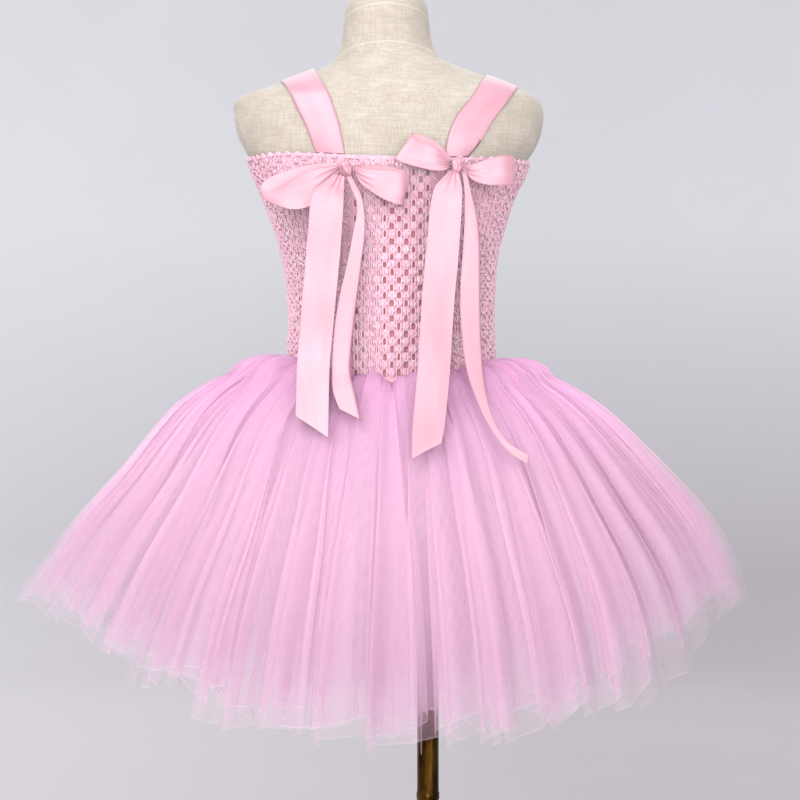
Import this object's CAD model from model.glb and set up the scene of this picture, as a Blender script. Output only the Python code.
# %% [markdown]
# # A tulle tutu dress on a dress form
# The real thing is a child's party dress: a stretchy crochet tube, two satin ribbon straps that are
# tied in bows at the back, and a skirt of 24 tulle strips looped on the tube's lower edge. It is worn
# by a limbless dress form on a brass stand. The solids of every piece are already made, in
# millimetres, and here each of them gets its real surface: yarn, satin, net, linen and brass.

# %% Load the frame
import functools
import math
import random

import bmesh
import bpy
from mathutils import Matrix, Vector


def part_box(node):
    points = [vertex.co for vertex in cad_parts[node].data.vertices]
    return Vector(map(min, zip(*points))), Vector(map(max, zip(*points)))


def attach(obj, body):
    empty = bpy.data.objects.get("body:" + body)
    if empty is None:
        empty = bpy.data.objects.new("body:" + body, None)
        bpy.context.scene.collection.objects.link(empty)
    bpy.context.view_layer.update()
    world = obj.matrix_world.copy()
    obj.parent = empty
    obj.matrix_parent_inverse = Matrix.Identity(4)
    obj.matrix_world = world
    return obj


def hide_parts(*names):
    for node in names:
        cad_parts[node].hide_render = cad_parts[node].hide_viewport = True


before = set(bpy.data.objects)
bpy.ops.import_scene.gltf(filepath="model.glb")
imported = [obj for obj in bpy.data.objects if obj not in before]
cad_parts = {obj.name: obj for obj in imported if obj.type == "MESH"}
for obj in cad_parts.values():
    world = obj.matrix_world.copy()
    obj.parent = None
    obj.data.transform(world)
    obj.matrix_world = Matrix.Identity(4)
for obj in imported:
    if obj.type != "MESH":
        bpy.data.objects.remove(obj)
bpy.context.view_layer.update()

# %% [markdown]
# The sizes below are in millimetres about the dress's own middle, as a maker would draw them. The
# frame's origin is under the middle of everything, so one small shift carries them over; it is found
# from the stand's pole, which is 36 mm to the right of the dress's middle.

# %% From the maker's millimetres to the frame
POLE_X = 36
low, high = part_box("form_pole")
SHIFT = (low + high) / 2 - Vector((POLE_X * 0.001, 0, 0))
SHIFT.z = 0


def to_frame(point):
    return point * 0.001 + SHIFT


def in_mm(vert):
    return (vert.co - SHIFT) * 1000


print("shift in mm", [round(v * 1000, 2) for v in SHIFT])

# %% [markdown]
# A table of sections is all that most pieces need. One helper reads a table at any key, with a
# smooth curve through its rows, so a piece is as round as the real one however few rows it has.
# The second helper does the same for rows that are evenly spaced, as along a ribbon.

# %% Reading a table smoothly
def smooth_at(table, key):
    """The row at a key, on a smooth curve through the rows of a table whose first column is the key."""
    last = len(table) - 1
    key = min(max(key, table[0][0]), table[last][0])
    i = 0
    while i < last - 1 and table[i + 1][0] < key:
        i += 1
    a, b = table[i], table[i + 1]
    before, after = table[max(i - 1, 0)], table[min(i + 2, last)]
    step = b[0] - a[0]
    f = (key - a[0]) / step
    row = []
    for p0, p1, p2, p3 in zip(before, a, b, after):
        m1 = (p2 - p0) / (b[0] - before[0]) * step
        m2 = (p3 - p1) / (after[0] - a[0]) * step
        row.append((2 * f**3 - 3 * f**2 + 1) * p1 + (f**3 - 2 * f**2 + f) * m1
                   + (3 * f**2 - 2 * f**3) * p2 + (f**3 - f**2) * m2)
    return row


def smooth_row(rows, share):
    """The row at a share of the way along evenly spaced rows."""
    return smooth_at([[i, *row] for i, row in enumerate(rows)], share * (len(rows) - 1))[1:]


# %% [markdown]
# The form's torso is a stack of rounded sections. Each row of the table gives a height, how far the
# section reaches left and right, its depth behind and in front, and how square it is (2 is an
# ellipse). Everything that is worn is then placed on this same shape, some millimetres out from it,
# so nothing has to be fitted by eye.

# %% The dress form's sections
FORM = [
    [545, -92, 95, 70, 74, 2.2], [549, -100, 103, 77, 81, 2.2], [560, -106, 109, 83, 86, 2.2],
    [585, -110.5, 113.5, 88, 90, 2.2], [615, -109.5, 112.5, 89.5, 90, 2.2], [645, -105, 108.5, 87, 87, 2.2],
    [670, -99.5, 103, 83, 83.5, 2.2], [690, -95.5, 99.5, 79.5, 80.5, 2.2], [705, -94.5, 97.8, 77.5, 79.5, 2.2],
    [718, -94.2, 96.6, 76.5, 79, 2.2], [733, -93.6, 95.8, 75.5, 79, 2.2], [748, -93.2, 95.4, 75, 79, 2.2],
    [767, -94, 95.8, 74.5, 79, 2.2], [786, -95.8, 96.8, 74.5, 79.5, 2.2], [800, -97.9, 98.2, 75, 80.5, 2.2],
    [814, -101.4, 100, 76, 81.5, 2.2], [830, -105.8, 104.5, 77.5, 83, 2.2], [845, -111, 109.1, 79, 84.5, 2.2],
    [857, -115.8, 112.8, 80, 85.5, 2.15], [869, -120.5, 118, 81, 86, 2.15], [880, -125.6, 124, 81.5, 86, 2.15],
    [890, -129.5, 127.8, 81.5, 85.5, 2.1], [899, -132.8, 131, 81.5, 85, 2.1], [907, -137, 136, 81, 84, 2.1],
    [917, -142.3, 141, 80, 82, 2.05], [930, -146.8, 144.8, 78, 78.5, 2.0], [943, -148.2, 145.8, 75.5, 75, 2.0],
    [951, -148.2, 143.8, 73.5, 72.5, 1.95], [956.5, -145.6, 141, 72, 70.5, 1.9], [961, -138, 135, 70.5, 69, 1.85],
    [965, -127, 127, 69, 67.5, 1.8], [970, -112.5, 115.5, 66.5, 65, 1.7], [975, -98.5, 102.5, 63.5, 62.5, 1.6],
    [980, -84.5, 87, 60.5, 59.5, 1.55], [984.5, -70.5, 75.5, 57, 56.5, 1.6], [988.5, -60.5, 65.5, 54, 54, 1.7],
    [993, -53.5, 53.5, 50.5, 51, 1.85], [999, -49.3, 45.8, 47.5, 48, 2.0], [1008, -46.6, 40.8, 45, 44.5, 2.0],
    [1022, -44.8, 38.1, 43, 41.5, 2.0], [1036, -43.4, 36.5, 42, 39.5, 2.0], [1045, -41.6, 35, 40.5, 38, 2.0],
    [1051.5, -37, 31.4, 36.5, 34, 2.0], [1057, -29, 24, 29, 27, 2.0], [1060.5, -17, 13, 17.5, 15.5, 2.0],
]


@functools.lru_cache(maxsize=None)
def form_row(z):
    return smooth_at(FORM, z)


def form_point(turn, z, grow=0.0):
    """A point on the form's section at a height, grown outwards; turn 0 is the right, a quarter turn the front."""
    _, left, right, back, front, n = form_row(z)
    c, s = math.cos(turn), math.sin(turn)
    depth = back if s < 0 else front
    x = (left + right) / 2 + ((right - left) / 2 + grow) * math.copysign(abs(c) ** (2 / n), c)
    y = (depth + grow) * math.copysign(abs(s) ** (2 / n), s)
    return Vector((x, y, z))


def form_field(p):
    """Below 0 inside the form, 0 on it and above 0 outside."""
    _, left, right, back, front, n = form_row(round(p.z, 2))
    u = abs((p.x - (left + right) / 2) / ((right - left) / 2)) ** n
    v = abs(p.y / (back if p.y < 0 else front)) ** n
    return (u + v) ** (1 / n) - 1


def form_slope(p, h):
    ways = (Vector((h, 0, 0)), Vector((0, h, 0)), Vector((0, 0, h)))
    return Vector([form_field(p + w) - form_field(p - w) for w in ways]) / (2 * h)


def onto_form(p, lift):
    """Moves a point onto the form, then out from it."""
    q = p.copy()
    for _ in range(10):
        slope = form_slope(q, 0.6)
        q -= slope * (form_field(q) / max(slope.length_squared, 1e-9) * 0.8)
    return q + form_slope(q, 2.5).normalized() * lift


# %% [markdown]
# Every cloth here starts as a flat grid, as a real cloth starts flat on the cutting table. The grid
# is made by one bmesh operator, gets a UV map in metres of real cloth, and then each of its points
# is moved to where the cloth hangs. The UV map stays flat, so a weave drawn on it follows every fold.

# %% Making a sheet from a grid
def add_sheet(bm, columns, rows, place, cut):
    """Adds a grid to bm and hangs it: place(u, v) is a point in mm, u across and v down; cut is its size in m."""
    uv = bm.loops.layers.uv.get("cut") or bm.loops.layers.uv.new("cut")
    grid = bmesh.ops.create_grid(bm, x_segments=columns, y_segments=rows, size=0.5)["verts"]
    reach = max(v.co.x for v in grid)
    spots = {v: (0.5 + v.co.x / (2 * reach), 0.5 - v.co.y / (2 * reach)) for v in grid}
    for face in {f for v in grid for f in v.link_faces}:
        for loop in face.loops:
            u, v = spots[loop.vert]
            loop[uv].uv = (u * cut[0], (1 - v) * cut[1])
    for vert, (u, v) in spots.items():
        vert.co = to_frame(place(u, v))
    return spots


def finish_piece(bm, name, material, nodes=()):
    """Turns bm into an object that rides on the frame and stands for the given solids."""
    for face in bm.faces:
        face.smooth = True
    print(name, "is", round(sum(f.calc_area() for f in bm.faces), 4), "square metres")
    mesh = bpy.data.meshes.new(name)
    bm.to_mesh(mesh)
    bm.free()
    return show_mesh(mesh, name, material, nodes)


def show_mesh(mesh, name, material, nodes=()):
    mesh.materials.clear()
    mesh.materials.append(material)
    piece = bpy.data.objects.new(name, mesh)
    bpy.context.scene.collection.objects.link(piece)
    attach(piece, "root")
    if nodes:
        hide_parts(*nodes)
    print(name, len(mesh.polygons), "faces")
    return piece


# %% [markdown]
# A material is a small tree of nodes. One helper adds a node and sets its inputs: a value is typed
# in, and an output is linked. Colours are written as they look on a screen, and turned into the
# linear numbers that a renderer works with.

# %% Colours and nodes
def colour(code):
    """A screen colour such as e8decf as linear red, green, blue and alpha."""
    parts = [int(code[i:i + 2], 16) / 255 for i in (0, 2, 4)]
    linear = [p / 12.92 if p <= 0.04045 else ((p + 0.055) / 1.055) ** 2.4 for p in parts]
    return (*linear, 1.0)


def new_material(name, **looks):
    """A material with its tree and shader; looks sets the shader's sockets, with _ for each space."""
    material = bpy.data.materials.new(name)
    material.use_nodes = True
    tree = material.node_tree
    shader = next(n for n in tree.nodes if n.type == "BSDF_PRINCIPLED")
    for socket, value in looks.items():
        shader.inputs[socket.replace("_", " ")].default_value = value
    return material, tree, shader


def node(tree, kind, inputs, **settings):
    """Adds a node; inputs maps a socket's name or number to a value or to another node's output."""
    made = tree.nodes.new(kind)
    for key, value in settings.items():
        setattr(made, key, value)
    for key, value in inputs.items():
        if isinstance(value, bpy.types.NodeSocket):
            tree.links.new(value, made.inputs[key])
        else:
            made.inputs[key].default_value = value
    return made


def maths(tree, operation, a, b=0.0):
    return node(tree, "ShaderNodeMath", {0: a, 1: b}, operation=operation).outputs[0]


def object_place(tree):
    return node(tree, "ShaderNodeTexCoord", {}).outputs["Object"]


def stretched(tree, place, scale):
    return node(tree, "ShaderNodeMapping", {"Vector": place, "Scale": scale}).outputs[0]


def noise(tree, place, scale, detail, **more):
    inputs = {"Vector": place, "Scale": scale, "Detail": detail, **more}
    return node(tree, "ShaderNodeTexNoise", inputs).outputs["Fac"]


def ramp(tree, value, low, high, out_low, out_high):
    """Carries a value from one range to another and stops at its ends."""
    return node(tree, "ShaderNodeMapRange", {0: value, 1: low, 2: high, 3: out_low, 4: out_high}).outputs[0]


def blend_colours(tree, share, a, b):
    """Mixes two colours, each a code such as e8decf or another node's output."""
    a, b = (colour(c) if isinstance(c, str) else c for c in (a, b))
    return node(tree, "ShaderNodeMix", {0: share, 6: a, 7: b}, data_type="RGBA").outputs[2]


def rising(tree, value, low, high, out_high=1.0):
    """Carries a value from a range to 0 at its low end and out_high at its high end."""
    return ramp(tree, value, low, high, 0.0, out_high)


def falling(tree, value, low, high, out_low=1.0):
    """Carries a value from a range to out_low at its low end and 0 at its high end."""
    return ramp(tree, value, low, high, out_low, 0.0)


def paint(tree, shader, tone):
    tree.links.new(tone, shader.inputs["Base Color"])


def bump(tree, shader, height, distance, strength):
    made = node(tree, "ShaderNodeBump", {"Strength": strength, "Distance": distance, "Height": height})
    tree.links.new(made.outputs["Normal"], shader.inputs["Normal"])


# %% [markdown]
# The form's cover is a plain, fine linen in natural cream. A real cover is a plain weave of about
# 20 threads to the centimetre. Two Wave textures at right angles give the threads, and slow noise
# gives the slubs. The seams lie on two tilted planes, round the neck and round its cap, and the
# distance from such a plane is enough to draw a stitched furrow.

# %% Linen for the torso
linen, tree, shader = new_material(  # the form's cotton-linen cover
    "linen", Roughness=0.85, Sheen_Weight=0.25, Sheen_Roughness=0.5)
place = object_place(tree)
bands = {"Vector": place, "Scale": 330.0, "Distortion": 1.2, "Detail": 1.0}
warp, weft = (node(tree, "ShaderNodeTexWave", bands, wave_type="BANDS", bands_direction=way).outputs["Fac"]
              for way in ("X", "Z"))
weave = maths(tree, "MULTIPLY", warp, weft)
slub = noise(tree, place, 55.0, 6.0)
cloud = noise(tree, place, 9.0, 3.0)
tone = blend_colours(tree, rising(tree, slub, 0.35, 0.65), "bfb4a7", "c9c0b4")
tone = blend_colours(tree, rising(tree, cloud, 0.3, 0.7, 0.15), tone, "bbad9b")
# single threads are finer than a pixel, so uneven threads about 1.5 mm thick stand for them
fine, coarse = 650.0, 70.0
upright, level = (noise(tree, stretched(tree, place, scale), 1.0, 1.0)
                  for scale in ((fine, fine, coarse), (coarse, coarse, fine)))
threads = maths(tree, "ADD", upright, level)
tone = blend_colours(tree, falling(tree, threads, 0.75, 1.25, 0.45), tone, "9c917f")
split = node(tree, "ShaderNodeSeparateXYZ", {0: place})
height = split.outputs["Z"]
# under the tube, where only pink light reaches the cover and its dye has rubbed off
worn = maths(tree, "MULTIPLY", rising(tree, height, 0.68, 0.7), falling(tree, height, 0.86, 0.888))
tone = blend_colours(tree, maths(tree, "MULTIPLY", worn, 0.9), tone, "dd8696")
seams = []
for seam_height, tilt in ((0.993, 0.32), (1.030, 0.33)):
    # the seam's plane rises towards the back, where y is lowest
    above = maths(tree, "ADD", height, maths(tree, "MULTIPLY", split.outputs["Y"], tilt))
    off = maths(tree, "ABSOLUTE", maths(tree, "SUBTRACT", above, seam_height))
    seams.append(falling(tree, off, 0.0004, 0.0016))
seam_mark = maths(tree, "MAXIMUM", *seams)
tone = blend_colours(tree, maths(tree, "MULTIPLY", seam_mark, 0.5), tone, "ddd5c8")
paint(tree, shader, tone)
relief = maths(tree, "ADD", maths(tree, "MULTIPLY", weave, 0.35), maths(tree, "MULTIPLY", slub, 0.4))
relief = maths(tree, "SUBTRACT", relief, maths(tree, "MULTIPLY", seam_mark, 2.0))
bump(tree, shader, relief, 0.0005, 0.6)

# %% [markdown]
# The torso itself is a tube of cloth over a foam body. It is made as one sheet wrapped round the
# sections, sewn to itself up its right side by merging the points that meet, and closed at the cap
# and the base. It could be lathed only if it were round, and a torso isn't.

# %% The torso's skin
bm = bmesh.new()
lowest, highest = FORM[0][0], FORM[-1][0]


def torso_spot(u, v):
    # rows are closer together at the rounded ends and over the shoulders
    z = highest + (lowest - highest) * (v - 0.06 * math.sin(2 * math.pi * v))
    return form_point(u * 2 * math.pi, round(z, 3))


add_sheet(bm, 120, 190, torso_spot, (0.62, 0.56))
bmesh.ops.remove_doubles(bm, verts=bm.verts, dist=0.00002)
rims = [e for e in bm.edges if e.is_boundary]
caps = bmesh.ops.holes_fill(bm, edges=rims, sides=0)["faces"]
bmesh.ops.poke(bm, faces=caps)
bmesh.ops.recalc_face_normals(bm, faces=bm.faces)
finish_piece(bm, "torso_cover", linen, ["form_torso"])

# %% [markdown]
# The stand is a brass tube in a round, weighted foot. Brass that is handled is never one colour:
# it is warm and bright where it is rubbed and brown where it isn't. Both parts are round, so each is
# a short profile that is spun about the pole's middle.

# %% Brass for the stand
brass, tree, shader = new_material("brass", Metallic=1.0)  # lacquered brass, worn in places
long_way = stretched(tree, object_place(tree), (1.0, 1.0, 0.25))
stain = noise(tree, long_way, 60.0, 8.0, Roughness=0.65)
scratch = noise(tree, long_way, 900.0, 2.0)
tone = blend_colours(tree, rising(tree, stain, 0.42, 0.62), "2c1d08", "62461a")
paint(tree, shader, tone)
tree.links.new(ramp(tree, stain, 0.3, 0.7, 0.42, 0.22), shader.inputs["Roughness"])
bump(tree, shader, scratch, 0.00008, 0.5)


# %% Pole and foot, spun from their profiles
def spun(profile, steps):
    """Spins a profile of (radius, height) in metres about the upright axis."""
    bm = bmesh.new()
    points = [bm.verts.new((r, 0, z)) for r, z in profile]
    edges = [bm.edges.new(pair) for pair in zip(points, points[1:])]
    bmesh.ops.spin(bm, geom=points + edges, cent=(0, 0, 0), axis=(0, 0, 1), angle=2 * math.pi,
                   steps=steps, use_merge=True)
    bmesh.ops.remove_doubles(bm, verts=bm.verts, dist=0.00001)
    bmesh.ops.recalc_face_normals(bm, faces=bm.faces)
    return bm


def stand_part(name, profile, node_name):
    """Makes a brass part from its profile in mm."""
    bm = spun([(r * 0.001, z * 0.001) for r, z in profile], 64)
    crisp = [e for e in bm.edges if e.is_manifold and e.calc_face_angle() > 0.6]
    bmesh.ops.bevel(bm, geom=crisp, offset=0.0006, offset_type="OFFSET", affect="EDGES",
                    segments=3, profile=0.5, material=-1)
    bmesh.ops.translate(bm, verts=bm.verts, vec=to_frame(Vector((POLE_X, 0, 0))))
    finish_piece(bm, name, brass, [node_name])


POLE, RING, POLE_TOP = 10.25, 10.9, 544.4
stand_part("stand_pole", [(0, 8.3), (POLE, 8.3), (POLE, 292), (RING, 293), (RING, 299), (POLE, 300),
                          (POLE, POLE_TOP), (0, POLE_TOP)], "form_pole")
stand_part("stand_foot", [(0, 0), (138, 0), (140, 2.2), (140, 5.4), (137.5, 7.6), (120, 8.1),
                          (30, 8.1), (0, 8.1)], "form_base")

# %% [markdown]
# The bodice is a crochet headband tube, worked in shell stitches from a thick soft yarn. Where the
# centre back is stretched, its gaps stand open in staggered columns and the form's cover shows
# through; at the sides and the front the same stitches lie closed. The tube is made in two layers:
# a thin sheet with the gaps cut out, and on it the yarn itself.

# %% The tube's edges and its gaps
TUBE_OFF = 1.25      # the tube's inside from the form
CHEST = 800          # height of the section that tells how far across a turn of the tube is
GAP_PITCH = 6.5      # between two columns of gaps
GAP_WIDTH = 4.8
GAP_HEIGHT = 7.2
GAP_PERIOD = 14.2    # from one gap to the next up a column
GAP_COLUMNS = 11
MIDDLE_COLUMN = 5
# how far each column stands open: the tube is stretched most right of the middle
GAP_OPEN = [0.85, 0.55, 0.36, 0.42, 0.8, 1.0, 0.9, 1.0, 0.85, 1.0, 0.8]
GAP_MIDDLE = 2.0     # x of the middle column
TUBE_EDGES = [[-1, 899.5, 702], [-0.85, 901, 701], [-0.57, 899, 695.5], [-0.29, 896.3, 689],
              [-0.05, 895, 685.5], [0.18, 894.2, 685.5], [0.34, 894.2, 687.5], [0.56, 895.5, 691],
              [0.85, 896, 698], [1, 895.7, 699.5]]


def tube_edges(x):
    """Height of the tube's upper and lower edge at a place across."""
    return smooth_at(TUBE_EDGES, (x - 1.5) / 98)[1:]


def back_turn(x, z):
    """Turn of the section, at the back, that has a given x."""
    _, left, right, _, _, n = form_row(round(z, 2))
    c = (x - (left + right) / 2) / ((right - left) / 2)
    return -math.acos(math.copysign(min(abs(c), 1) ** (n / 2), c))


OPEN_HALF = MIDDLE_COLUMN * GAP_PITCH + GAP_WIDTH / 2 + 1.5
OPEN_FROM, OPEN_TO = 0.3, 0.7   # the openwork's share of the way across the back


def back_line(share, z):
    """Turn of a line up the back: share runs from 0 at the left side seam to 1 at the right one."""
    left_x, right_x = GAP_MIDDLE - OPEN_HALF, GAP_MIDDLE + OPEN_HALF
    if share < OPEN_FROM:
        return -math.pi + (back_turn(left_x, z) + math.pi) * share / OPEN_FROM
    if share > OPEN_TO:
        return back_turn(right_x, z) * (1 - share) / (1 - OPEN_TO)
    return back_turn(left_x + (right_x - left_x) * (share - OPEN_FROM) / (OPEN_TO - OPEN_FROM), z)


def gap_x(column):
    return GAP_MIDDLE + (column - MIDDLE_COLUMN) * GAP_PITCH


def gap_bottom(column):
    return 693 + (column % 2) * GAP_PERIOD / 2


def gap_open(column, row):
    """How far one gap stands open; no two of them are alike."""
    return GAP_OPEN[column] * (1 + 0.16 * math.sin(5.3 * row + 2.1 * column)) + 0.05 * math.cos(3 * row - column)


def in_gap(x, z):
    """True inside one of the openwork's gaps, which are rounded."""
    column = MIDDLE_COLUMN + round((x - GAP_MIDDLE) / GAP_PITCH)
    if not 0 <= column < GAP_COLUMNS or not gap_bottom(column) <= z <= tube_edges(x)[0] - 5:
        return False
    row, rise = divmod(z - gap_bottom(column), GAP_PERIOD)
    across = (x - gap_x(column)) / (GAP_WIDTH / 2 * gap_open(column, row))
    up = rise / (GAP_HEIGHT / 2) - 1
    return abs(across) ** 2.6 + abs(up) ** 2.6 < 1


print("openwork is", round(2 * OPEN_HALF), "mm wide")

# %% [markdown]
# Yarn is round and fuzzy and made of twisted plies, and it takes light softly: sheen stands for the
# fuzz. Fine noise on object coordinates breaks up the highlights at the size of a ply. The layer
# under the yarn is the same colour in its own shade, so it is darker.

# %% Yarn
yarn, tree, shader = new_material(  # soft milk-cotton yarn in candy pink
    "crochet yarn", Roughness=0.6, Sheen_Weight=0.6, Sheen_Roughness=0.4)
ply = noise(tree, object_place(tree), 900.0, 3.0, Roughness=0.6)
spot = noise(tree, object_place(tree), 190.0, 2.0)
tone = blend_colours(tree, rising(tree, spot, 0.35, 0.65), "f2b2c8", "f9cedd")
tone = blend_colours(tree, rising(tree, ply, 0.5, 0.7, 0.6), tone, "fde3ec")
paint(tree, shader, tone)
bump(tree, shader, ply, 0.0006, 0.8)

under_yarn, tree, shader = new_material("crochet in shade", Roughness=0.9)  # the yarn behind the stitches
ply = noise(tree, object_place(tree), 500.0, 3.0)
tone = blend_colours(tree, ply, "ebadc1", "f8c7d7")
paint(tree, shader, tone)
bump(tree, shader, ply, 0.0008, 0.8)

# %% [markdown]
# The thin sheets come first. The back one is a fine grid from which the faces in the gaps are
# deleted with one operator; their jagged edges are covered by yarn. A crochet tube of this size
# lies about 230 mm wide and 190 mm long when it isn't worn, and the form stretches it.

# %% The tube's two sheets
def edges_at(turn):
    return tube_edges(form_point(turn, CHEST, 3).x)


def edge_height(turn, v):
    top, bottom = edges_at(turn)
    return top + (bottom - top) * v


def front_line(share):
    """Turn of a line up the front, clear of the side seams."""
    return 0.0022 + (math.pi - 0.0044) * share


def back_sheet(u, v):
    z = edge_height(back_line(u, CHEST), v)
    return form_point(back_line(u, z), z, TUBE_OFF + 0.5)


def front_sheet(u, v):
    turn = front_line(u)
    return form_point(turn, edge_height(turn, v), TUBE_OFF + 0.75)


TUBE_CUT = (0.23, 0.19)
bm = bmesh.new()
add_sheet(bm, 170, 150, back_sheet, TUBE_CUT)
middles = {f: sum((in_mm(v) for v in f.verts), Vector()) / 4 for f in bm.faces}
bmesh.ops.delete(bm, geom=[f for f, p in middles.items() if in_gap(p.x, p.z)], context="FACES")
crochet_back = finish_piece(bm, "crochet_back", under_yarn, ["bodice_back"])

bm = bmesh.new()
add_sheet(bm, 90, 60, front_sheet, TUBE_CUT)
crochet_front = finish_piece(bm, "crochet_front", under_yarn, ["bodice_front"])

# %% [markdown]
# The yarn is a great number of short bends. Curves suit it: a spline is a row of points, a bevel
# makes it a round thread, and one curve object holds thousands of splines. Each stitch is drawn once
# as a few small paths across, up and out from the cloth, and laid on the tube wherever that stitch
# is worked. The curve is then turned into a mesh.

# %% Laying yarn on the tube
def layer_of(side, share, z, lift):
    turn = back_line(share, z) if side == "back" else front_line(share)
    return form_point(turn, round(z, 2), TUBE_OFF + lift)


def lay_stitch(curve, paths, side, share, z, width):
    """Adds a stitch's paths of (across, up, out) points in mm; across is scaled by width."""
    step = 0.002
    per_share = (layer_of(side, share + step, z, 1) - layer_of(side, share - step, z, 1)).length / (2 * step)
    for path, closed in paths:
        spline = curve.splines.new("POLY")
        spline.points.add(len(path) - 1)
        for point, (across, up, out) in zip(spline.points, path):
            spot = layer_of(side, share + across * width / per_share, z + up, out)
            point.co = (*to_frame(spot), 1)
        spline.use_cyclic_u = closed


def ring(across, up, size_across, size_up, out, steps=7):
    """A closed strand round a place."""
    turns = [2 * math.pi * k / steps for k in range(steps)]
    return [(across + size_across * math.cos(t), up + size_up * math.sin(t), out + 0.35 * math.cos(2 * t))
            for t in turns], True


def arc(foot, belly, head, out):
    """A strand from its foot over a belly to its head, each (across, up)."""
    foot, belly, head = Vector(foot), Vector(belly), Vector(head)
    points = [foot, (foot + belly) / 2, belly, (head + belly) / 2, head]
    return [(*p, o) for p, o in zip(points, (0.5, out, out + 0.35, out, 0.5))], False


def both_ways(foot, belly, head, out):
    """The same strand on the left and on the right."""
    return [arc(*((s * across, up) for across, up in (foot, belly, head)), out) for s in (-1, 1)]


OPEN_SHELL = [
    *both_ways((0.9, -4.0), (2.9, -0.3), (1.7, 3.5), 1.5), *both_ways((0.3, -3.8), (1.1, 0.2), (0.5, 3.5), 1.8),
    ring(0, 2.7, 2.0, 0.9, 1.8), *both_ways((2.7, 1.7), (1.7, -0.7), (0.2, -2.9), 2.0)]
GAP_BORDER = both_ways((2.2, -3.6), (2.75, 0), (2.2, 3.6), 1.1)
FILLING = both_ways((2.4, -4.0), (3.2, 0), (2.4, 4.0), 1.6)


def scallop(wide, high, foot, out, steps=6):
    """Half an ellipse over its foot."""
    turns = [math.pi * k / steps for k in range(steps + 1)]
    return [(-wide * math.cos(t), foot + high * math.sin(t), out) for t in turns], False


SCALLOP = [scallop(2.9, 2.8, -1.8, 1.5), scallop(1.5, 1.9, -2.3, 1.9), arc((-0.4, -3.6), (0.3, -2.0), (0, -0.2), 1.5)]
CLOSED_SHELLS = [
    [arc((-0.4, -3.6), (-1.4, 0.4), (-1.9, 3.4), 1.7), arc((0.6, -3.8), (1.1, -0.4), (2.2, 2.8), 1.4),
     ring(0.3, 2.2, 1.7, 1.2, 1.9, 6)],
    [arc((1.9, -3.0), (-0.6, -0.6), (-2.0, 2.6), 1.9), arc((0.2, -1.2), (1.8, 0.8), (0.8, 3.8), 1.4),
     ring(-1.3, 0.2, 1.3, 1.7, 1.6, 6)],
    [arc((-2.0, -2.6), (0.4, -1.0), (1.9, 2.4), 1.8), arc((-0.6, 0.2), (-1.8, 1.8), (-0.6, 3.8), 1.4),
     ring(1.2, -1.4, 1.5, 1.3, 1.7, 6)],
]


def yarn_mesh(name, curve, radius):
    curve.dimensions = "3D"
    curve.bevel_depth = radius
    curve.bevel_resolution = 0
    curve.use_fill_caps = True
    holder = bpy.data.objects.new(name, curve)
    mesh = bpy.data.meshes.new_from_object(holder)
    bpy.data.objects.remove(holder)
    mesh.polygons.foreach_set("use_smooth", [True] * len(mesh.polygons))
    mesh.name = name
    return show_mesh(mesh, name, yarn)


# %% [markdown]
# At the centre back each gap has a border on its two sides and a full shell over it. Outside the
# openwork the stitches close up, and three ways of one stitch are mixed. A row of scallops finishes
# each edge, as the real tube ends in shells. No two hand-made stitches are alike, so each is moved a
# little.

# %% The back's stitches
luck = random.Random(7)
STITCH = 7.6         # height of a closed stitch
STRIPS = 24          # of tulle, looped on the lower edge


def share_of(x):
    return OPEN_FROM + (OPEN_TO - OPEN_FROM) * (x - GAP_MIDDLE + OPEN_HALF) / (2 * OPEN_HALF)


curve = bpy.data.curves.new("crochet_stitches_back", "CURVE")
for column in range(GAP_COLUMNS):
    x = gap_x(column)
    top = tube_edges(x)[0]
    z = gap_bottom(column) + GAP_HEIGHT / 2
    if column % 2:
        lay_stitch(curve, OPEN_SHELL, "back", share_of(x), z - GAP_PERIOD / 2, 1.0)
    row = 0
    while z < top - 4:
        drift = luck.uniform(-0.35, 0.35)
        lay_stitch(curve, GAP_BORDER, "back", share_of(x + drift), z, gap_open(column, row))
        if GAP_OPEN[column] < 0.7:
            lay_stitch(curve, FILLING, "back", share_of(x), z, 1.0)
        shell = min(z + GAP_PERIOD / 2 + luck.uniform(-0.4, 0.4), top - 4.6)
        lay_stitch(curve, OPEN_SHELL, "back", share_of(x + luck.uniform(-0.5, 0.5)), shell, luck.uniform(0.88, 1.12))
        z += GAP_PERIOD
        row += 1


def turn_of(side, share, z):
    return back_line(share, z) if side == "back" else math.pi * share


def closed_columns(curve, side, first, last, columns):
    """Columns of closed stitches, every second one half a stitch higher."""
    for k in range(columns):
        share = first + (last - first) * (k + 0.5) / columns
        top, bottom = edges_at(turn_of(side, share, CHEST))
        z = bottom + 4 + (k % 2) * STITCH / 2
        while z < top - 3.5:
            stitch = luck.choice(CLOSED_SHELLS)
            aside, up = luck.uniform(-0.0016, 0.0016), luck.uniform(-0.9, 0.9)
            lay_stitch(curve, stitch, side, share + aside, z + up, luck.uniform(0.95, 1.3))
            z += STITCH


def edge_scallops(curve, side, count=46):
    """Scallops along the top, and along the waist, where they hang into the creases between the strips."""
    for k in range(count):
        share = (k + 0.5) / count
        turn = turn_of(side, share, 890)
        top, bottom = edges_at(turn)
        lay_stitch(curve, SCALLOP, side, share, top - 0.4 + luck.uniform(-0.4, 0.4), luck.uniform(0.9, 1.1))
        crease = abs(math.cos(STRIPS / 2 * turn)) ** 5
        hanging = [([(x, -y, out + 5.5 * crease) for x, y, out in path], closed) for path, closed in SCALLOP]
        low = bottom + 1.0 - 3.0 * crease + luck.uniform(-0.8, 0.4)
        lay_stitch(curve, hanging, side, share, low, luck.uniform(0.9, 1.1))


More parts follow.
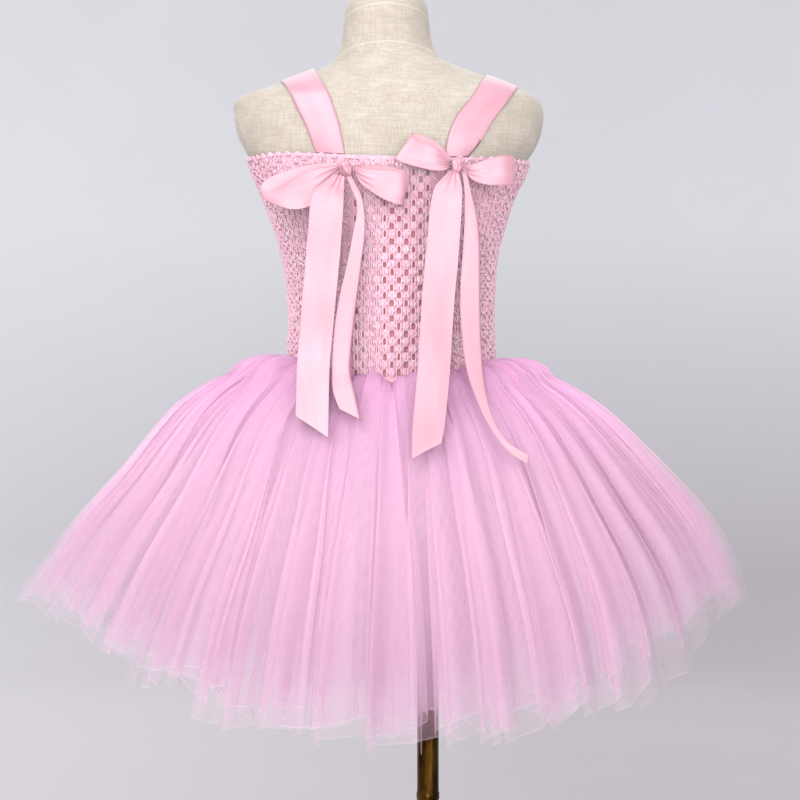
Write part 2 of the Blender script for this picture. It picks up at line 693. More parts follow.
closed_columns(curve, "back", 0.0, OPEN_FROM, 16)
closed_columns(curve, "back", OPEN_TO, 1.0, 16)
edge_scallops(curve, "back")
back_yarn = yarn_mesh("crochet_stitches_back", curve, 0.00092)

# %% The front's stitches
curve = bpy.data.curves.new("crochet_stitches_front", "CURVE")
closed_columns(curve, "front", 0.0, 1.0, 58)
edge_scallops(curve, "front")
front_yarn = yarn_mesh("crochet_stitches_front", curve, 0.00088)

# %% [markdown]
# The skirt is worked out next, because the bows' tails lie on it. All strips share one bell: it goes
# out almost level from the waist and then falls. The first table gives the height of the hem round
# the bell, the second how far out and down a strip has come at each share of its length.

# %% The skirt's bell
HEM_HEIGHTS = [482, 470, 438, 408, 392, 380, 376, 386, 402, 431, 465, 483,
               488, 481, 454, 418, 393, 379, 374, 382, 399, 428, 468, 486]
HEM_LEFT, HEM_RIGHT, HEM_DEPTH = 345, 327, 220
FALL = [[0, 0, 0, 0], [0.07, 0.125, 0.13, 0.01], [0.17, 0.275, 0.275, 0.078], [0.28, 0.4, 0.415, 0.177],
        [0.39, 0.5, 0.545, 0.3], [0.54, 0.61, 0.685, 0.453], [0.67, 0.72, 0.805, 0.59],
        [0.79, 0.825, 0.905, 0.73], [0.9, 0.91, 0.965, 0.865], [1, 1, 1, 1], [1.1, 1.04, 1.02, 1.12]]


def hem_height(turn):
    k = (turn / (2 * math.pi) * STRIPS - 0.5) % STRIPS
    i = int(k)
    f = (1 - math.cos((k - i) * math.pi)) / 2
    return HEM_HEIGHTS[i] + (HEM_HEIGHTS[(i + 1) % STRIPS] - HEM_HEIGHTS[i]) * f


@functools.lru_cache(maxsize=None)
def waist(turn, rise, off):
    """Where a layer starts, given how far over the tube's lower edge and how far from the form."""
    z = tube_edges(form_point(turn, 705, off).x)[1] + rise
    return form_point(turn, z, off)


def bell(turn, share, rise=2.0, off=4.05, pull=0.0, lift=0.0):
    """A point of the skirt; pull draws a layer's hem in, lift raises it."""
    root = waist(round(turn, 3), rise, off)
    _, reach_left, reach_right, drop = smooth_at(FALL, share)
    c = math.cos(turn)
    reach = reach_left + (reach_right - reach_left) * (0.5 + 0.5 * c)
    x = ((HEM_LEFT if c < 0 else HEM_RIGHT) - pull) * c
    y = (HEM_DEPTH - pull) * math.sin(turn)
    z = root.z - (root.z - hem_height(turn) - lift) * drop
    return Vector((root.x + (x - root.x) * reach, root.y + (y - root.y) * reach, z))


def bell_out(turn, share, **layer):
    """The outward direction of the bell."""
    around = bell(turn + 0.01, share, **layer) - bell(turn - 0.01, share, **layer)
    down = bell(turn, share + 0.01, **layer) - bell(turn, max(share - 0.01, 0), **layer)
    return down.cross(around).normalized()


print("hem from", min(HEM_HEIGHTS), "to", max(HEM_HEIGHTS), "mm over the floor")

# %% [markdown]
# Satin ribbon is woven so that long threads float on one face, along the ribbon. It mirrors softly,
# and its highlights are almost white whatever its colour. The fine grooves along it come from a
# noise that is stretched on the ribbon's own UV map, and a firm selvedge runs down both edges.

# %% Satin
RIBBON = 0.03        # width of the ribbon in metres
satin, tree, shader = new_material(  # 30 mm polyester satin in pale pink
    "satin ribbon", Roughness=0.4, Specular_IOR_Level=1.0, Coat_Weight=0.6, Coat_Roughness=0.5, Coat_IOR=1.6,
    Anisotropic=0.4, Sheen_Weight=0.15, Sheen_Roughness=0.3)
cut = node(tree, "ShaderNodeUVMap", {}, uv_map="cut").outputs[0]
grain = noise(tree, stretched(tree, cut, (3200.0, 60.0, 1.0)), 1.0, 2.0)
water = noise(tree, stretched(tree, cut, (60.0, 14.0, 1.0)), 1.0, 3.0)
across = node(tree, "ShaderNodeSeparateXYZ", {0: cut}).outputs["X"]
off_middle = maths(tree, "ABSOLUTE", maths(tree, "SUBTRACT", across, RIBBON / 2))
from_edge = maths(tree, "SUBTRACT", RIBBON / 2, off_middle)
selvedge = falling(tree, from_edge, 0.0004, 0.0012)
tone = blend_colours(tree, rising(tree, water, 0.35, 0.65), "ca8c9c", "d298a8")
tone = blend_colours(tree, maths(tree, "MULTIPLY", selvedge, 0.5), tone, "c27f92")
paint(tree, shader, tone)
relief = maths(tree, "ADD", maths(tree, "MULTIPLY", grain, 0.25), maths(tree, "MULTIPLY", selvedge, 0.8))
bump(tree, shader, relief, 0.00025, 0.5)

# %% [markdown]
# Each strap is one length of ribbon over the shoulder. The table follows its outer and its inner
# edge from the back of the tube to the front; the cloth between them is pressed onto the form, and
# crowned a little, because a ribbon is stiffer than the body under it.

# %% The straps
STRAP_LEFT = [
    [-67.9, -71.5, 900.3, -41.2, -78, 898.1], [-70, -70.8, 905.3, -42, -77.8, 902.5],
    [-73.8, -69, 916, -43.9, -76.8, 913.5], [-79.5, -66, 929.5, -46.8, -74.5, 927],
    [-86, -61.8, 942.3, -51, -71, 941], [-91, -56, 953.5, -56, -66.5, 955],
    [-96, -47, 962, -61.5, -57.5, 965.5], [-100, -33, 968.2, -66.5, -42, 975],
    [-102.5, -16, 971.6, -70.5, -20, 981.5], [-103.5, 0, 972.8, -72, 0, 983.5],
    [-102.5, 16, 971.6, -71, 20, 981.5], [-100, 33, 968.2, -68, 42, 975],
    [-96.5, 47, 961.5, -64, 57, 965.5], [-92, 57, 951, -60, 66, 953],
    [-87, 64, 938, -56.5, 71.5, 937], [-82.5, 69, 924, -52.5, 76, 922],
    [-78.5, 72.5, 911, -48.5, 79.5, 909], [-75.5, 75, 900.8, -45.5, 81.5, 898.6],
]
STRAP_RIGHT = [
    [71.8, -69.3, 896.8, 51.6, -75.6, 895.7], [78.6, -67, 904.4, 51, -75.8, 902.6],
    [84.5, -64.8, 913, 53, -74.5, 913.5], [90.5, -61, 923.5, 56.8, -72.5, 924],
    [98, -56.3, 935.6, 62, -69.5, 934.5], [105, -51.5, 944.3, 70, -65.5, 945],
    [111, -44.5, 952.5, 78, -57.8, 956], [116, -34, 959.5, 84.2, -46, 966.4],
    [119, -18, 964.6, 90, -22, 975.5], [120, 0, 966.4, 92, 0, 978.3],
    [118.5, 17, 964.9, 90, 22, 975.5], [114.5, 33, 960.5, 85, 42, 968.5],
    [109, 46, 952.8, 79, 56, 958], [103, 55, 942.5, 73, 65, 945.5],
    [97, 62, 931, 66.5, 71, 932], [91, 67.5, 919, 60, 76, 918.5],
    [85.5, 71.5, 908, 54.5, 79.3, 906.5], [82, 73.8, 900.6, 51, 81, 899],
]


def add_strap(side, table, length):
    def place(u, v):
        xo, yo, zo, xi, yi, zi = smooth_row(table, v)
        flat = Vector((xo, yo, zo)).lerp(Vector((xi, yi, zi)), u)
        ripple = 0.35 * math.sin(9 * v + 2 * u) + 0.25 * math.sin(23 * v - 3 * u)
        return onto_form(flat, 1.6 + 0.5 * math.sin(math.pi * u) + ripple * math.sin(math.pi * v))

    bm = bmesh.new()
    add_sheet(bm, 12, 110, place, (RIBBON, length))
    if table[0][0] < table[0][3]:
        bmesh.ops.reverse_faces(bm, faces=bm.faces)
    bmesh.ops.solidify(bm, geom=bm.faces, thickness=0.0004)
    piece = finish_piece(bm, f"ribbon_strap_{side}", satin, [f"strap_{side}"])


add_strap("left", STRAP_LEFT, 0.26)
add_strap("right", STRAP_RIGHT, 0.25)

# %% [markdown]
# The bows are drawn as ribbons from a table of their two edges, from the knot outwards. A tail hangs
# straight down until it meets the skirt and then lies on the skirt's puffs, so its depth comes from
# the bell. Two of the tails are turned on their edge: they are made as a ribbon that is folded
# lengthwise, so their cut stays 30 mm wide.

# %% Ribbons that hang and fold
rest_spots = []
turn = 1.1 * math.pi
while turn < 1.9 * math.pi:
    for share in (k / 100 for k in range(45)):
        puffed = 11 if share < 0.12 else 4.5 + 8.5 * (share - 0.06)
        rest_spots.append(bell(turn, share) + bell_out(turn, share) * puffed)
    turn += 0.025


def rest_depth(x, z):
    """How far back a ribbon has to hang to clear the skirt at a place."""
    return min([0] + [p.y for p in rest_spots if abs(p.x - x) < 8 and abs(p.z - z) < 7]) - 4.0


def ribbon_edges(table, hangs, stations=24):
    """The two edges as evenly spaced rows, hung clear of the skirt and evened out."""
    rows = []
    for i in range(stations):
        row = smooth_row(table, i / (stations - 1))
        rows.append([Vector(row[:3]), Vector(row[3:])])
        for p in rows[-1]:
            p.y = min(p.y, rest_depth(p.x, p.z))
            if hangs:
                p.y -= 5 * math.sin(math.pi * i / (stations - 1))
    # satin is stiff along its length: it spans from bump to bump, and bends softly over each
    for taut in [True] * 10 + [False] * 6:
        for side in (0, 1):
            for before, here, after in zip(rows, rows[1:], rows[2:]):
                between = (before[side].y + after[side].y) / 2
                here[side].y = min(here[side].y, between) if taut else (here[side].y + between) / 2
    return [[*a, *b] for a, b in rows]


CROWN, WAVE = 0.6, 0.8   # how far a ribbon bulges and how deep its long waves are, in mm


def add_ribbon(name, table, length, held, folded=False, creases=0.0):
    """A loop or a tail; folded makes one that is turned on its edge."""
    rows = ribbon_edges(table, held == "hung")

    def frame_at(v):
        row = smooth_row(rows, v)
        return Vector(row[:3]), Vector(row[3:])

    def place(u, v):
        a, b = frame_at(v)
        a2, b2 = frame_at(min(v + 0.01, 1))
        a1, b1 = frame_at(max(v - 0.01, 0))
        out = (b - a).cross(a2 + b2 - a1 - b1).normalized()
        if out.y > 0 and held == "hung":
            out = -out
        pinch = creases * (1 - min(v / 0.25, 1)) * math.sin(7 * math.pi * u)
        waves = math.sin(9 * v + 1.6 * u + length * 40) + 0.5 * math.sin(21 * v - 2.5 * u)
        lift = (CROWN + pinch) * math.sin(math.pi * u) + WAVE * math.sin(math.pi * v) * waves
        if held == "hung":
            # the top of a tail is drawn up into the knot
            lift_up = Vector((0, 0, 5.5 * max(1 - v / 0.1, 0) ** 1.5))
            a, b = a + lift_up, b + lift_up
        if folded:
            f = u / 0.56 if u < 0.56 else 1 - (u - 0.56) / 0.44 * 0.78
            behind = 0 if u < 0.5 else -2.2 * min((u - 0.5) / 0.12, 1)
            return a.lerp(b, f) + out * (lift * 0.5 + behind + 0.8)
        return a.lerp(b, u) + out * lift

    bm = bmesh.new()
    add_sheet(bm, 18 if folded else 14, 120, place, (RIBBON, length))
    piece = finish_piece(bm, f"ribbon_{name}", satin, [f"bow_{name}"])


# %% [markdown]
# A knot is a short bundle of pinched ribbon. It starts as a sphere from one operator, is squared up
# a little, and gets furrows that run round it as the ribbon is wrapped, deeper where it is pulled.

# %% Knots
def add_knot(side, x, y, z, wide, deep, high):
    bm = bmesh.new()
    uv = bm.loops.layers.uv.new("cut")
    bmesh.ops.create_uvsphere(bm, u_segments=56, v_segments=40, radius=1.0)
    for vert in bm.verts:
        d = vert.co.normalized()
        angle = math.atan2(d.y, d.x)
        furrow = 0.16 * math.cos(5 * angle + 2.6 * d.z + x) + 0.08 * math.cos(9 * angle - 4 * d.z)
        size = (0.98 + furrow * (1 - d.z**4)) * (1 + 0.25 * abs(d.z) ** 2)
        slant = 1.6 * d.z * math.copysign(1, x)
        end = 1 - 0.1 * math.cos(3 * angle)
        vert.co = to_frame(Vector((x + slant + wide * d.x * size, y + deep * d.y * size, z + high * d.z * end)))
    for face in bm.faces:
        for loop in face.loops:
            p = in_mm(loop.vert)
            loop[uv].uv = (RIBBON / 2 + (p.x - x) * 0.001, (p.z - z) * 0.001)
    return finish_piece(bm, f"ribbon_knot_{side}", satin, [f"bow_{side}_knot"])


left_knot = add_knot("left", -39.3, -90.4, 884, 4.6, 5.6, 7.6)
right_knot = add_knot("right", 62.4, -88.8, 887, 5.2, 5.6, 7.6)

# %% The left bow
LEFT_LOOP_OUTER = [
    [-47, -91, 886.8, -46.2, -92, 881.2], [-59.4, -93, 884.5, -53.8, -95, 869.5],
    [-73.1, -95, 881.6, -69.2, -98, 851.8],
    [-87, -92, 875.5, -84.7, -98, 846.2], [-101.1, -84, 867.8, -99.4, -94, 848.6],
    [-112.6, -72, 863.9, -112.5, -82, 854.9], [-119.4, -62, 868.2, -118.4, -70, 860.6],
    [-114.8, -60, 874.6, -110.6, -63, 863.7], [-101.5, -67, 881, -97.8, -69, 866.7],
    [-82.7, -77, 886.4, -80.9, -78, 870.7], [-64.2, -83, 888.8, -62.3, -83, 878.7],
    [-48, -86.5, 889.3, -47.2, -86.5, 885.1],
]
LEFT_LOOP_INNER = [
    [-31.6, -91, 886, -31.6, -92, 878.8], [-25, -95, 883, -26.4, -96, 869.5], [-15.2, -99, 881.7, -17, -100, 861.9],
    [-3.3, -102, 881, -6, -103, 855.3], [7.7, -102, 880.1, 4.9, -103, 850.7], [15, -98, 878.2, 11.3, -100, 849.6],
    [18.7, -93, 876.3, 12.7, -96, 852.2], [14.1, -88.5, 881.2, 7.7, -90, 858.1],
    [-1.5, -86.8, 886.1, -6.1, -87.5, 868.5], [-20, -86.5, 887.4, -21.8, -86.8, 876.8],
    [-31.4, -86.5, 887.6, -31.4, -86.5, 882.3],
]
LEFT_TAIL_WIDE = [
    [-51.5, -96, 872.6, -41.2, -95, 870.6], [-60, -99.5, 869, -41.6, -98, 864], [-68.4, -102, 862, -42, -99, 856],
    [-72.6, -101, 849, -42.6, -98, 843], [-74.2, -96.5, 828, -43.8, -94.5, 826], [-76.5, -92, 802, -45.7, -91, 800.3],
    [-79.3, -89, 768, -49, -89, 766.3], [-81.6, -88, 737.8, -51.7, -88, 735.9], [-83.9, -90, 708.3, -54, -90, 707.4],
    [-84.4, -100, 682, -54.6, -101, 680.7], [-84.4, -122, 657, -54.9, -128, 637.9],
]
LEFT_TAIL_NARROW = [
    [-39.6, -91, 871, -34.5, -90.5, 871.2], [-35, -92, 864.5, -28.8, -91, 866], [-31, -91, 855, -25.4, -90, 858],
    [-30.1, -89.5, 842.6, -22.7, -88.5, 844.5], [-33.8, -87, 822.5, -22.3, -87, 822.5],
    [-38.8, -85.5, 796.7, -25.5, -86, 796.7], [-44.8, -84, 770.9, -28.7, -85, 770.9],
    [-49, -83, 745.2, -31.9, -84.5, 745.2], [-51.5, -85, 717.5, -34.7, -87, 717.5],
    [-52.2, -93, 695.4, -35.6, -95, 697.2], [-51, -106, 679.5, -31.5, -106, 680],
    [-45.1, -120, 663.3, -25.5, -126, 653.3],
]

add_ribbon("left_loop_outer", LEFT_LOOP_OUTER, 0.115, "folded", creases=2.0)
add_ribbon("left_loop_inner", LEFT_LOOP_INNER, 0.095, "folded", creases=2.0)
add_ribbon("left_tail_wide", LEFT_TAIL_WIDE, 0.23, "hung", creases=1.5)
add_ribbon("left_tail_narrow", LEFT_TAIL_NARROW, 0.21, "hung", folded=True)

# %% The right bow
RIGHT_LOOP_INNER = [
    [54.8, -91, 890.6, 54.8, -93, 884.2], [48.4, -95, 898.4, 49.6, -97, 881.6], [41.6, -99, 901.9, 41.6, -100, 881.2],
    [32.4, -101, 905.4, 29.6, -102, 883.3], [25.1, -100, 909.6, 16.8, -101, 887.1], [21, -96, 913.2, 7.7, -98, 891],
    [20.5, -91, 916.4, 8.1, -93, 894.6], [31.6, -86.8, 914, 19.6, -88.5, 895],
    [44.5, -85.5, 907.3, 38, -87, 892.5], [54.4, -86, 896, 54, -87, 887.8],
]
RIGHT_LOOP_OUTER = [
    [70.4, -89, 886.4, 70.4, -91, 880.3], [77.5, -93, 887.6, 75.6, -95, 873.3], [88.3, -95, 891.5, 86.5, -96, 869],
    [99.3, -94, 894.7, 98.4, -95, 868.1], [107.7, -88, 896, 108.6, -89, 868.4], [114, -79, 895.2, 115.3, -80, 870.3],
    [110.1, -71, 893.9, 111, -72, 872.1], [97.2, -72, 892.6, 97.2, -73, 873.6],
    [82.4, -79, 889.1, 81.5, -79.5, 878], [70.8, -84, 886.1, 70.8, -84.5, 881.8],
]
RIGHT_TAIL_WIDE = [
    [53.5, -91, 876.4, 63, -91, 875.2], [47, -93, 873.4, 65.8, -93, 869.6], [41.2, -93.5, 866, 66.4, -94, 861.5],
    [37.5, -93, 850.6, 66, -93, 847.8], [35.2, -91.5, 827.8, 64.6, -91.5, 825.9],
    [32.5, -90, 798.4, 62.4, -90, 796.5], [29.7, -89, 768.1, 59.6, -89, 767.2],
    [27.4, -89, 731.3, 56.9, -88.5, 730.4], [25.6, -92, 701.8, 55, -91, 700.9],
    [22.8, -107, 671.5, 52, -106, 669.7], [20.4, -128, 644.3, 49, -126, 644.3],
    [19.9, -143, 619.1, 46.5, -136, 632.7],
]
RIGHT_TAIL_TWIST = [
    [66.6, -89, 874.8, 71.4, -88.5, 875.4], [67.8, -89.5, 868, 73.6, -88.5, 868.4],
    [68.6, -90, 855.7, 76.3, -87, 856.7],
    [68.4, -89.5, 835.5, 80.8, -83, 837.4], [67, -88, 809.8, 83, -81, 811.6],
    [64.8, -86.5, 780.3, 83.2, -80, 780.3], [64.4, -86, 754.5, 83.2, -80, 752.6],
    [66.6, -86.5, 724.9, 84.1, -81, 722.2], [70.2, -93, 697.2, 85.8, -90, 693.6],
    [77.2, -106, 675.2, 88.6, -103, 673.3], [86.7, -122, 653.3, 94, -120, 653.3],
    [98.1, -134, 635.3, 103.5, -133, 637.2],
    [110.3, -144, 622.5, 114.4, -143, 628.4], [123.4, -150, 614.5, 124.6, -149, 622.4],
]

add_ribbon("right_loop_inner", RIGHT_LOOP_INNER, 0.08, "folded", creases=2.0)
add_ribbon("right_loop_outer", RIGHT_LOOP_OUTER, 0.085, "folded", creases=2.0)
add_ribbon("right_tail_wide", RIGHT_TAIL_WIDE, 0.26, "hung", creases=1.5)
add_ribbon("right_tail_twist", RIGHT_TAIL_TWIST, 0.27, "hung", folded=True)

# %% [markdown]
# Tulle is a net of fine threads: one layer hardly hides anything, and the skirt's colour builds up
# through many layers. So each strip is several sheets of a see-through material. How much a sheet
# hides at a point is kept on the mesh as an attribute: more at the waist, where the net is gathered,
# and more on the flank of a fold, where more threads lie behind each other. The net itself is a
# pattern of crossed sine waves, 1.7 mm apart, on the strip's own UV map, and the cut hem shows as a fine
# pale line. Light also shines through tulle, so about a third of the net is translucent.

# %% Tulle
STRIP_WIDTH, STRIP_LENGTH = 0.12, 0.36
NET = 2600.0         # how fast the net's waves run, in radians per metre
tulle, tree, shader = new_material(  # soft pink nylon tulle
    "tulle net", Roughness=0.7, Specular_IOR_Level=0.3)
cut = node(tree, "ShaderNodeUVMap", {}, uv_map="cut").outputs[0]
split = node(tree, "ShaderNodeSeparateXYZ", {0: cut})
up_the_strip = split.outputs["Y"]
slants = (maths(tree, way, split.outputs["X"], up_the_strip) for way in ("ADD", "SUBTRACT"))
along, against = (maths(tree, "SINE", maths(tree, "MULTIPLY", slant, NET)) for slant in slants)
thread = ramp(tree, maths(tree, "ABSOLUTE", maths(tree, "MULTIPLY", along, against)), 0.0, 0.8, 1.5, 0.6)
hem_edge = falling(tree, up_the_strip, 0.0006, 0.0018)
cover = node(tree, "ShaderNodeAttribute", {}, attribute_name="cover").outputs["Fac"]
in_crease = rising(tree, cover, 0.6, 0.92, 0.6)
cover = maths(tree, "MULTIPLY", cover, thread)
cover = maths(tree, "MINIMUM", maths(tree, "ADD", cover, maths(tree, "MULTIPLY", hem_edge, 0.06)), 0.97)
tone = blend_colours(tree, rising(tree, up_the_strip, 0.0, 0.18), "f2cbe4", "ffd6ef")
tone = blend_colours(tree, rising(tree, up_the_strip, 0.2, 0.34), tone, "ffcbf1")
tone = blend_colours(tree, in_crease, tone, "ff9fd6")  # deeper in the gathers at the waist
tone = blend_colours(tree, hem_edge, tone, "ffeaf8")
paint(tree, shader, tone)
through = node(tree, "ShaderNodeBsdfTranslucent", {"Color": tone}).outputs[0]
clear = node(tree, "ShaderNodeBsdfTransparent", {}).outputs[0]
net = node(tree, "ShaderNodeMixShader", {0: 0.36, 1: shader.outputs[0], 2: through}).outputs[0]
mixed = node(tree, "ShaderNodeMixShader", {0: cover, 1: clear, 2: net}).outputs[0]
output = next(n for n in tree.nodes if n.type == "OUTPUT_MATERIAL")
tree.links.new(mixed, output.inputs["Surface"])
bpy.context.scene.cycles.transparent_max_bounces = 48
bpy.context.scene.cycles.max_bounces = 5
bpy.context.scene.cycles.diffuse_bounces = 1

# %% [markdown]
# A strip is folded over the tube's edge and pulled through itself, which leaves a soft puff at the
# waist; from there it fans out. Its gathers start as tight creases at the puff and open towards the
# hem. Two sheets stand for the strip's outer half, one a little further in and a little shorter,
# and one edge of each lies over the next strip while its other edge lies under the one before.

# %% Strips of the outer skirt
# how much longer (+) or shorter (-) a strip is cut at its two corners, as a share of its length
ENDS = [[0.01, -0.02], [-0.01, 0.02], [0.02, -0.01], [-0.02, 0.01], [0.02, 0], [-0.02, 0.02],
        [0.01, 0.02], [0.02, -0.02], [-0.02, 0.01], [0.02, -0.01], [-0.01, 0.01], [0, 0.02],
        [0, 0.01], [-0.01, 0], [-0.03, 0], [-0.01, -0.03], [0.035, 0], [0.005, 0.02],
        [0, 0.005], [0.02, -0.045], [-0.025, 0.005], [0.05, -0.01], [-0.035, 0], [0.01, 0.02]]
TWO_LOBES = [0.55, 0.15, 0.7, 0.4, 0.0]   # how deeply a strip's puff is parted in two
STRIP_TURN = 2 * math.pi / STRIPS
NARROW = 0.98        # width of a strip at the waist, as a share of its place there
# sheet: depth under the outside in mm, share of the full length, width at the hem in strips, cover at the hem
SHEETS = [(0, 1.0, 1.35, 0.18), (6, 0.985, 1.7, 0.25)]


def bell_gathers(turn, share):
    """The large folds that all layers follow."""
    a = turn / (2 * math.pi)
    shape = 0.62 * math.cos(2 * math.pi * 50 * a) + 0.38 * math.cos(2 * math.pi * 31 * a + 1)
    return shape * (0.4 + 8.5 * min(max(share - 0.06, 0), 1) ** 0.9)


def cover_at(turn, share, at_hem):
    """Dense at the waist, thinner down the skirt, towards its two sides and in the last few centimetres."""
    side = abs(math.cos(turn)) ** 3.5 * min(max(share - 0.3, 0) / 0.5, 1)
    fade = 1 - 0.45 * min(max(share - 0.72, 0) / 0.28, 1)
    return at_hem * (3.0 - 1.9 * min(share, 1) ** 0.75) * (1 - 0.8 * side) * fade


def add_cover(bm, spots, out_at, cover_at):
    """Stores how much the net hides at each point, more on the flanks of folds."""
    layer = bm.verts.layers.float["cover"]
    bm.normal_update()
    for vert, (u, v) in spots.items():
        steep = 1 / max(abs(vert.normal.dot(out_at(u, v))), 0.5)
        vert[layer] = 1 - (1 - min(cover_at(u, v), 0.9)) ** steep


def add_strip(i):
    bm = bmesh.new()
    bm.verts.layers.float.new("cover")
    middle = (i + 0.5) * STRIP_TURN
    for depth, length, spread, hem_cover in SHEETS:
        luck = random.Random(100 * i + depth)
        phase = [luck.uniform(0, 2 * math.pi) for _ in range(3)]
        folds = luck.choice((2.6, 3.1, 3.7))
        loops = luck.uniform(1.3, 1.9)
        corners = ENDS[i] if depth == 0 else [luck.uniform(-0.06, 0.03), luck.uniform(-0.06, 0.03)]
        lean = luck.uniform(-0.15, 0.15)
        two_lobes = TWO_LOBES[i % 5]

        def fold_angle(u, share):
            return 2 * math.pi * folds * u + phase[0] + 0.9 * share

        def spot(u, v):
            # each fold's end hangs in a point, as a straight cut does once it is folded
            point = (folds * u + phase[2]) % 1
            ragged = (0.03 - 0.1 * point) if depth else (0.02 - 0.05 * point)
            share = v * (length + corners[0] + (corners[1] - corners[0]) * u + ragged * v**4)
            open_up = min(share / 0.6, 1) ** 0.8
            fan = NARROW + (spread - NARROW) * open_up
            # the cloth runs on and back, so each fold lies over its neighbours
            on = u + (0.35 + loops * open_up) * math.sin(fold_angle(u, share)) / (2 * math.pi * folds)
            return middle + ((on - 0.5) * fan + lean * share) * STRIP_TURN, share

        def place(u, v):
            turn, share = spot(u, v)
            grow = min(share / 0.1, 1)
            parted = abs(math.sin(2 * math.pi * u + 0.3 * phase[2])) ** 0.8
            lobes = math.sin(math.pi * u) ** 0.9 * (1 - two_lobes + two_lobes * parted)
            swell = math.sin(math.pi * min(share / 0.14, 1)) ** 0.6
            puff = ((11.5 - depth * 0.4) * lobes - 2.5 * (1 - math.sin(math.pi * u)) ** 4) * swell
            shingle = 3.0 * (2 * u - 1) * min(share / 0.3, 1)
            fine = math.cos(27 * u + phase[1]) + 0.6 * math.cos(43 * u)
            crease = fine * 0.5 * math.sin(math.pi * min(share / 0.4, 1)) ** 0.7
            own = -(0.4 + 3.6 * max(share - 0.08, 0) ** 0.8) * math.sin(fold_angle(u, share))
            lift = puff + grow * (shingle + bell_gathers(turn, share) + crease + own) - depth * min(share / 0.2, 1)
            top = Vector((0, 0, (4 + 2.5 * math.sin(7 * i)) * lobes * max(1 - share / 0.05, 0)))
            return bell(turn, share) + bell_out(turn, share) * (lift + 0.7) + top

        spots = add_sheet(bm, 60, 36, place, (STRIP_WIDTH, STRIP_LENGTH))
        add_cover(bm, spots, lambda u, v: bell_out(*spot(u, v)),
                  lambda u, v: cover_at(*spot(u, v), hem_cover))
    piece = finish_piece(bm, f"tulle_strip_{i + 1:02d}", tulle, [f"tulle_outer_{i + 1:02d}"])


for i in range(STRIPS):
    add_strip(i)

# %% [markdown]
# The other half of each strip hangs behind, inside the tube's edge. It is drawn in and a little
# shorter. Two strips' inner halves are made as one piece, as their solids are, and their gathers are deeper.

# %% Inner halves of the strips
UNDER = {"rise": -6.0, "off": 1.4, "pull": 20.0, "lift": 10.0}


def add_inner(i):
    bm = bmesh.new()
    bm.verts.layers.float.new("cover")
    luck = random.Random(900 + i)
    phase = [luck.uniform(0, 2 * math.pi) for _ in range(2)]

    def fold_angle(u, share):
        return 2 * math.pi * 6 * u + phase[0] + share

    def spot(u, v):
        share = v * (0.99 + 0.03 * math.sin(9 * u + phase[1]) + 0.02 * math.sin(fold_angle(u, 1)))
        open_up = min(share / 0.5, 1)
        fan = 0.984 + 0.16 * open_up
        on = u + (0.2 + 1.5 * open_up) * math.sin(fold_angle(u, share)) / (2 * math.pi * 6)
        return (i + 0.5 + (on - 0.5) * fan) * 2 * STRIP_TURN, share

    def place(u, v):
        turn, share = spot(u, v)
        open_up = max(share - 0.1, 0)
        wave = math.cos(24 * turn + 0.6) * 4.5 * open_up
        own = -6.0 * open_up * math.sin(fold_angle(u, share))
        lift = wave + own - 1.3 + 2 * (2 * u - 1) * min(share / 0.3, 1)
        return bell(turn, share, **UNDER) + bell_out(turn, share, **UNDER) * lift

    spots = add_sheet(bm, 96, 26, place, (2 * STRIP_WIDTH, STRIP_LENGTH))
    add_cover(bm, spots, lambda u, v: bell_out(*spot(u, v), **UNDER),
              lambda u, v: cover_at(*spot(u, v), 0.26))
    piece = finish_piece(bm, f"tulle_inner_{i + 1:02d}", tulle, [f"tulle_under_{i + 1:02d}"])


for i in range(STRIPS // 2):
    add_inner(i)

# %% [markdown]
# The studio is a round sweep: a pale floor that curves up into a wall all round, so there is no
# corner behind the dress from any side. It is one profile, spun. The light is soft and even: a large
# lamp high on the left, a weaker one on the right, a low one in front that the satin mirrors, and one
# from behind for the far side.

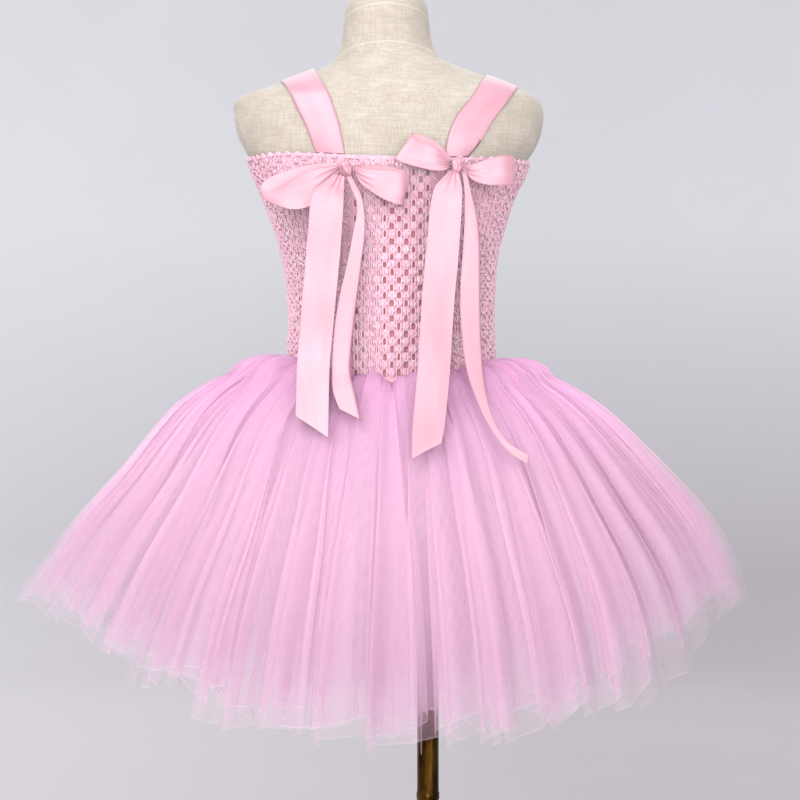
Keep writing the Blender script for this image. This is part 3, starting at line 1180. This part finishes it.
# %% The studio
paper, tree, shader = new_material("studio paper", Roughness=1.0)  # matt grey background paper
split = node(tree, "ShaderNodeSeparateXYZ", {0: object_place(tree)})
aside, rise = split.outputs["X"], split.outputs["Z"]
mottle = noise(tree, object_place(tree), 3.0, 2.0)
tone = blend_colours(tree, rising(tree, rise, 0.0, 1.2), "b4aeb1", "e9e9ed")
tone = blend_colours(tree, falling(tree, aside, -1.2, 0.3, 0.4), tone, "fafafd")
tone = blend_colours(tree, rising(tree, mottle, 0.3, 0.7, 0.06), tone, "c9c9cd")
paint(tree, shader, tone)
FLOOR, CORNER, FLOOR_HEIGHT = 4.0, 2.0, -0.0005
bend = [t * math.pi / 24 for t in range(1, 13)]
corner = [(FLOOR + CORNER * math.sin(t), CORNER - CORNER * math.cos(t)) for t in bend]
sweep = [(0.0, 0.0), (FLOOR, 0.0), *corner, (FLOOR + CORNER, 4.5)]
bm = spun([(r, z + FLOOR_HEIGHT) for r, z in sweep], 96)
bmesh.ops.reverse_faces(bm, faces=bm.faces)
for face in bm.faces:
    face.smooth = True
mesh = bpy.data.meshes.new("studio_sweep")
bm.to_mesh(mesh)
bm.free()
mesh.materials.append(paper)
studio = bpy.data.objects.new("studio_sweep", mesh)
bpy.context.scene.collection.objects.link(studio)


def add_lamp(name, place, wide, high, power, tint):
    lamp = bpy.data.lights.new(name, "AREA")
    lamp.shape = "RECTANGLE"
    lamp.size, lamp.size_y, lamp.energy, lamp.color = wide, high, power, tint
    holder = bpy.data.objects.new(name, lamp)
    holder.location = place
    holder.rotation_euler = (Vector((0, 0, 0.7)) - Vector(place)).to_track_quat("-Z", "Y").to_euler()
    holder.visible_camera = False
    bpy.context.scene.collection.objects.link(holder)


add_lamp("key", (-1.5, -2.3, 2.8), 2.6, 2.6, 76, (1, 0.99, 0.98))
add_lamp("fill", (2.0, -3.2, 1.3), 1.8, 1.8, 48, (0.98, 0.99, 1))
add_lamp("front", (-0.1, -3.9, 0.85), 1.1, 1.6, 54, (1, 1, 1))
add_lamp("back", (0.4, 3.8, 2.4), 3.0, 3.0, 34, (1, 1, 1))
world = bpy.data.worlds.new("studio")
bpy.context.scene.world = world
world.use_nodes = True
world.node_tree.nodes["Background"].inputs["Color"].default_value = colour("f2f2f6")
world.node_tree.nodes["Background"].inputs["Strength"].default_value = 1.15
bpy.context.scene.view_settings.view_transform = "Standard"

# %% [markdown]
# The camera stands 2.6 m behind the dress at the height of the waist, with a lens that frames
# 760 mm, so the form's neck and the lower stand run out of the picture.

# %% The camera
lens = bpy.data.cameras.new("camera")
lens.sensor_width, lens.lens = 36, 123.16
camera = bpy.data.objects.new("camera", lens)
camera.location = to_frame(Vector((9.5, -2600, 671.5)))
camera.rotation_euler = (math.pi / 2, 0, 0)
bpy.context.scene.collection.objects.link(camera)
bpy.context.scene.camera = camera
